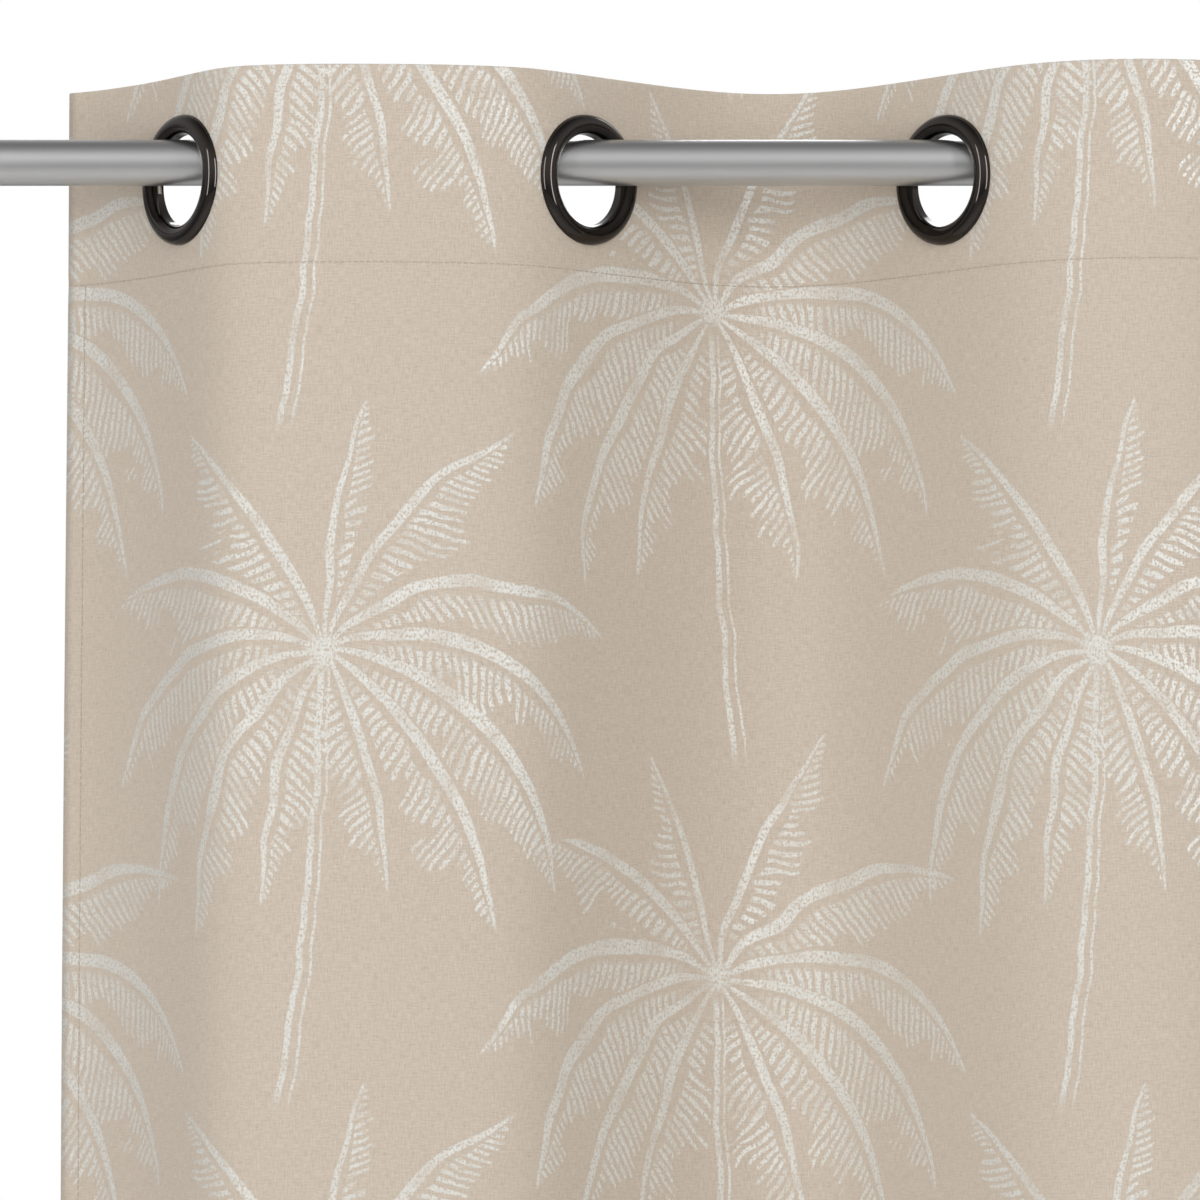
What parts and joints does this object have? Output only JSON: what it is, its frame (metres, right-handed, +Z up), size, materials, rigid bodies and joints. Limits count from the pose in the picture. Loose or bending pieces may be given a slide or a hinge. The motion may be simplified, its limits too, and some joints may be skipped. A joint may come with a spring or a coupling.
{
  "type": "window curtain on a rod",
  "caption": "Eyelet-headed window curtain standing in upright folds, with its rod, end finials, wall brackets and cradles.",
  "frame": {"origin": "on the wall, midway between the two bracket plates and level with the rod's axis", "axes": "+X along the rod, to the right as seen from the room; +Y into the wall; +Z up"},
  "size_m": [1.7026, 0.1539, 2.45],
  "materials": {
    "rod_steel": "satin silver grey",
    "bracket_steel": "satin silver-grey lacquer",
    "zinc_screws": "bright zinc plate",
    "black_nickel": "polished black nickel",
    "jacquard_cloth": "matt beige weave with a silvery leaf motif",
    "heading_stiffener": "stiff unbleached non-woven",
    "black_plastic": "ribbed black plastic"
  },
  "bodies": {
    "brackets": {"wall_plate_left": "zinc_screws", "plate_cover_left": "rod_steel", "cover_grub_screw_left": "zinc_screws", "bracket_arm_left": "bracket_steel", "rod_cradle_left": "bracket_steel", "wall_plate_right": "zinc_screws", "plate_cover_right": "rod_steel", "cover_grub_screw_right": "zinc_screws", "bracket_arm_right": "bracket_steel", "rod_cradle_right": "bracket_steel"},
    "rod": {"rod_tube": "rod_steel"},
    "thumb_left": {"thumb_screw_left": "zinc_screws"},
    "end_left": {"finial_left": "rod_steel", "finial_insert_left": "black_plastic"},
    "thumb_right": {"thumb_screw_right": "zinc_screws"},
    "end_right": {"finial_right": "rod_steel", "finial_insert_right": "black_plastic"},
    "eyelet_1": {"eyelet_front_1": "black_nickel", "eyelet_back_1": "black_nickel", "cloth_fold_1": "jacquard_cloth", "heading_band_1": "heading_stiffener"},
    "eyelet_2": {"eyelet_front_2": "black_nickel", "eyelet_back_2": "black_nickel", "cloth_fold_2": "jacquard_cloth", "heading_band_2": "heading_stiffener"},
    "eyelet_3": {"eyelet_front_3": "black_nickel", "eyelet_back_3": "black_nickel", "cloth_fold_3": "jacquard_cloth", "heading_band_3": "heading_stiffener"},
    "eyelet_4": {"eyelet_front_4": "black_nickel", "eyelet_back_4": "black_nickel", "cloth_fold_4": "jacquard_cloth", "heading_band_4": "heading_stiffener"},
    "eyelet_5": {"eyelet_front_5": "black_nickel", "eyelet_back_5": "black_nickel", "cloth_fold_5": "jacquard_cloth", "heading_band_5": "heading_stiffener"},
    "eyelet_6": {"eyelet_front_6": "black_nickel", "eyelet_back_6": "black_nickel", "cloth_fold_6": "jacquard_cloth", "heading_band_6": "heading_stiffener"},
    "eyelet_7": {"eyelet_front_7": "black_nickel", "eyelet_back_7": "black_nickel", "cloth_fold_7": "jacquard_cloth", "heading_band_7": "heading_stiffener"},
    "eyelet_8": {"eyelet_front_8": "black_nickel", "eyelet_back_8": "black_nickel"}
  },
  "joints": [
    {"name": "rod_lift", "type": "slide", "parent": "brackets", "child": "rod", "axis": [0, 0, 1], "range_m": [0, 0.025]},
    {"name": "thumb_left_turn", "type": "hinge", "parent": "brackets", "child": "thumb_left", "pos_m": [-0.73, -0.1, -0.018], "axis": [0, 0, 1], "range_deg": [0, 360]},
    {"name": "thumb_right_turn", "type": "hinge", "parent": "brackets", "child": "thumb_right", "pos_m": [0.73, -0.1, -0.018], "axis": [0, 0, 1], "range_deg": [0, 360]},
    {"name": "finial_left_pull", "type": "slide", "parent": "rod", "child": "end_left", "axis": [-1, 0, 0], "range_m": [0, 0.04]},
    {"name": "finial_right_pull", "type": "slide", "parent": "rod", "child": "end_right", "axis": [1, 0, 0], "range_m": [0, 0.04]},
    {"name": "curtain_slide", "type": "slide", "parent": "rod", "child": "eyelet_1", "axis": [1, 0, 0], "range_m": [-0.05, 0.08]},
    {"name": "gather_1", "type": "slide", "parent": "eyelet_1", "child": "eyelet_2", "axis": [1, 0, 0], "range_m": [-0.085, 0.005], "deforming": ["cloth_fold_1", "heading_band_1"]},
    {"name": "gather_2", "type": "slide", "parent": "eyelet_2", "child": "eyelet_3", "axis": [1, 0, 0], "range_m": [-0.085, 0.005], "deforming": ["cloth_fold_2", "heading_band_2"]},
    {"name": "gather_3", "type": "slide", "parent": "eyelet_3", "child": "eyelet_4", "axis": [1, 0, 0], "range_m": [-0.085, 0.005], "deforming": ["cloth_fold_3", "heading_band_3"]},
    {"name": "gather_4", "type": "slide", "parent": "eyelet_4", "child": "eyelet_5", "axis": [1, 0, 0], "range_m": [-0.085, 0.005], "deforming": ["cloth_fold_4", "heading_band_4"]},
    {"name": "gather_5", "type": "slide", "parent": "eyelet_5", "child": "eyelet_6", "axis": [1, 0, 0], "range_m": [-0.085, 0.005], "deforming": ["cloth_fold_5", "heading_band_5"]},
    {"name": "gather_6", "type": "slide", "parent": "eyelet_6", "child": "eyelet_7", "axis": [1, 0, 0], "range_m": [-0.085, 0.005], "deforming": ["cloth_fold_6", "heading_band_6"]},
    {"name": "gather_7", "type": "slide", "parent": "eyelet_7", "child": "eyelet_8", "axis": [1, 0, 0], "range_m": [-0.085, 0.005], "deforming": ["cloth_fold_7", "heading_band_7"]}
  ],
  "couplings": [
    {"joint": "gather_2", "follows": "gather_1", "ratio": 1},
    {"joint": "gather_3", "follows": "gather_1", "ratio": 1},
    {"joint": "gather_4", "follows": "gather_1", "ratio": 1},
    {"joint": "gather_5", "follows": "gather_1", "ratio": 1},
    {"joint": "gather_6", "follows": "gather_1", "ratio": 1},
    {"joint": "gather_7", "follows": "gather_1", "ratio": 1}
  ]
}
